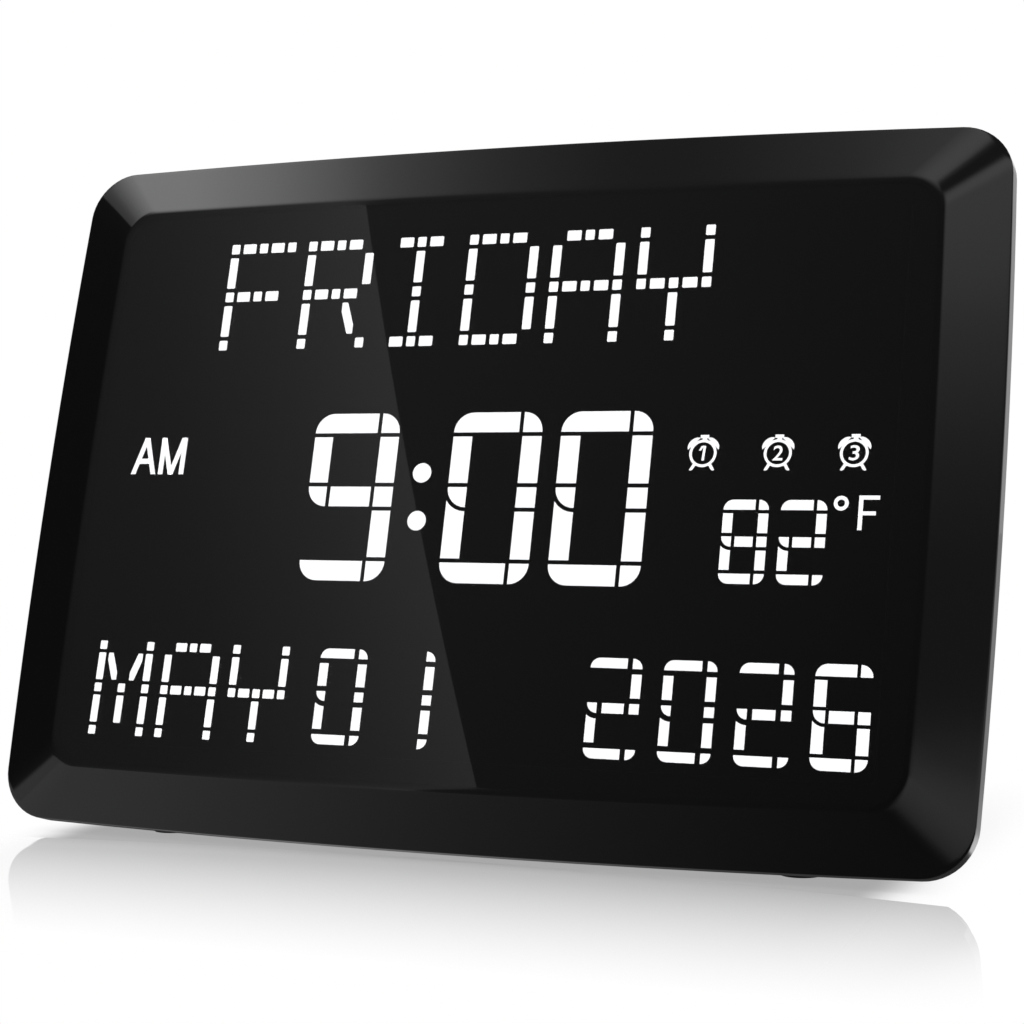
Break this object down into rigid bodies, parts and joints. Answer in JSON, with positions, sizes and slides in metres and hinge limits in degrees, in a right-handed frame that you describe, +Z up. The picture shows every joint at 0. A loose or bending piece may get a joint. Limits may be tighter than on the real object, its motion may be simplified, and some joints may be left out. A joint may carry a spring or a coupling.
{
  "type": "dementia day clock",
  "caption": "Leaning day clock with a smoked curved-edge front over a lit segment display, a slim rear housing with push buttons, a folding stand and wall keyholes.",
  "frame": {"origin": "on the table, at the centre of the clock's box, with the stand open", "axes": "+Z up, +X to the right as seen from the front, the face looks towards -Y"},
  "size_m": [0.29, 0.0758, 0.1999],
  "materials": {
    "smoked_acrylic": "smoked acrylic, polished, opaque black round the window",
    "clear_tape": "double-sided adhesive tape",
    "black_abs": "fine spark-eroded texture",
    "printed_film": "black printed film",
    "white_sheet": "satin diffuser",
    "white_abs": "matt white",
    "circuit_board": "green solder mask",
    "light_chip": "phosphor over a white chip",
    "chip_black": "moulded black",
    "zinc_steel": "bright zinc",
    "black_steel": "black oxide",
    "cell_steel": "nickel plated",
    "can_sleeve": "shrink sleeve",
    "rubber": "matt rubber",
    "button_abs": "satin",
    "plunger_abs": "satin"
  },
  "bodies": {
    "root": {"front_lens": "smoked_acrylic", "lens_tape": "clear_tape", "inner_frame": "black_abs", "display_film": "printed_film", "diffuser_sheet": "white_sheet", "segment_reflector": "white_abs", "led_board": "circuit_board", "leds": "light_chip", "driver_chips": "chip_black", "led_board_screws": "zinc_steel", "board_header": "chip_black", "control_board": "circuit_board", "microcontroller": "chip_black", "crystal": "cell_steel", "capacitor": "can_sleeve", "buzzer": "chip_black", "temperature_sensor": "chip_black", "cell_holder": "chip_black", "cell_contacts": "zinc_steel", "coin_cell": "cell_steel", "power_socket": "chip_black", "socket_pin": "zinc_steel", "tact_switches": "zinc_steel", "control_board_screws": "zinc_steel", "rear_cover": "black_abs", "cover_screws": "black_steel", "hinge_pin": "zinc_steel", "rubber_feet": "rubber"},
    "stand": {"stand_leg": "black_abs", "stand_foot": "rubber"},
    "door": {"battery_door": "black_abs"},
    "set": {"set_button": "button_abs", "set_plunger": "plunger_abs"},
    "up": {"up_button": "button_abs", "up_plunger": "plunger_abs"},
    "down": {"down_button": "button_abs", "down_plunger": "plunger_abs"},
    "alarm": {"alarm_button": "button_abs", "alarm_plunger": "plunger_abs"},
    "dimmer": {"dimmer_button": "button_abs", "dimmer_plunger": "plunger_abs"},
    "sound": {"sound_button": "button_abs", "sound_plunger": "plunger_abs"}
  },
  "joints": [
    {"name": "stand_fold", "type": "hinge", "parent": "root", "child": "stand", "pos_m": [0, 0.00914, 0.09161], "axis": [1, 0, 0], "range_deg": [-27, 0]},
    {"name": "door_lift", "type": "slide", "parent": "root", "child": "door", "axis": [0, 0.9643, -0.2647], "range_m": [0, 0.015]},
    {"name": "set_press", "type": "slide", "parent": "root", "child": "set", "axis": [0, -0.9643, 0.2647], "range_m": [0, 0.0005], "stiffness_N_per_m": 800, "springref_m": -0.0004},
    {"name": "up_press", "type": "slide", "parent": "root", "child": "up", "axis": [0, -0.9643, 0.2647], "range_m": [0, 0.0005], "stiffness_N_per_m": 800, "springref_m": -0.0004},
    {"name": "down_press", "type": "slide", "parent": "root", "child": "down", "axis": [0, -0.9643, 0.2647], "range_m": [0, 0.0005], "stiffness_N_per_m": 800, "springref_m": -0.0004},
    {"name": "alarm_press", "type": "slide", "parent": "root", "child": "alarm", "axis": [0, -0.9643, 0.2647], "range_m": [0, 0.0005], "stiffness_N_per_m": 800, "springref_m": -0.0004},
    {"name": "dimmer_press", "type": "slide", "parent": "root", "child": "dimmer", "axis": [0, -0.9643, 0.2647], "range_m": [0, 0.0005], "stiffness_N_per_m": 800, "springref_m": -0.0004},
    {"name": "sound_press", "type": "slide", "parent": "root", "child": "sound", "axis": [0, -0.9643, 0.2647], "range_m": [0, 0.0005], "stiffness_N_per_m": 800, "springref_m": -0.0004}
  ]
}
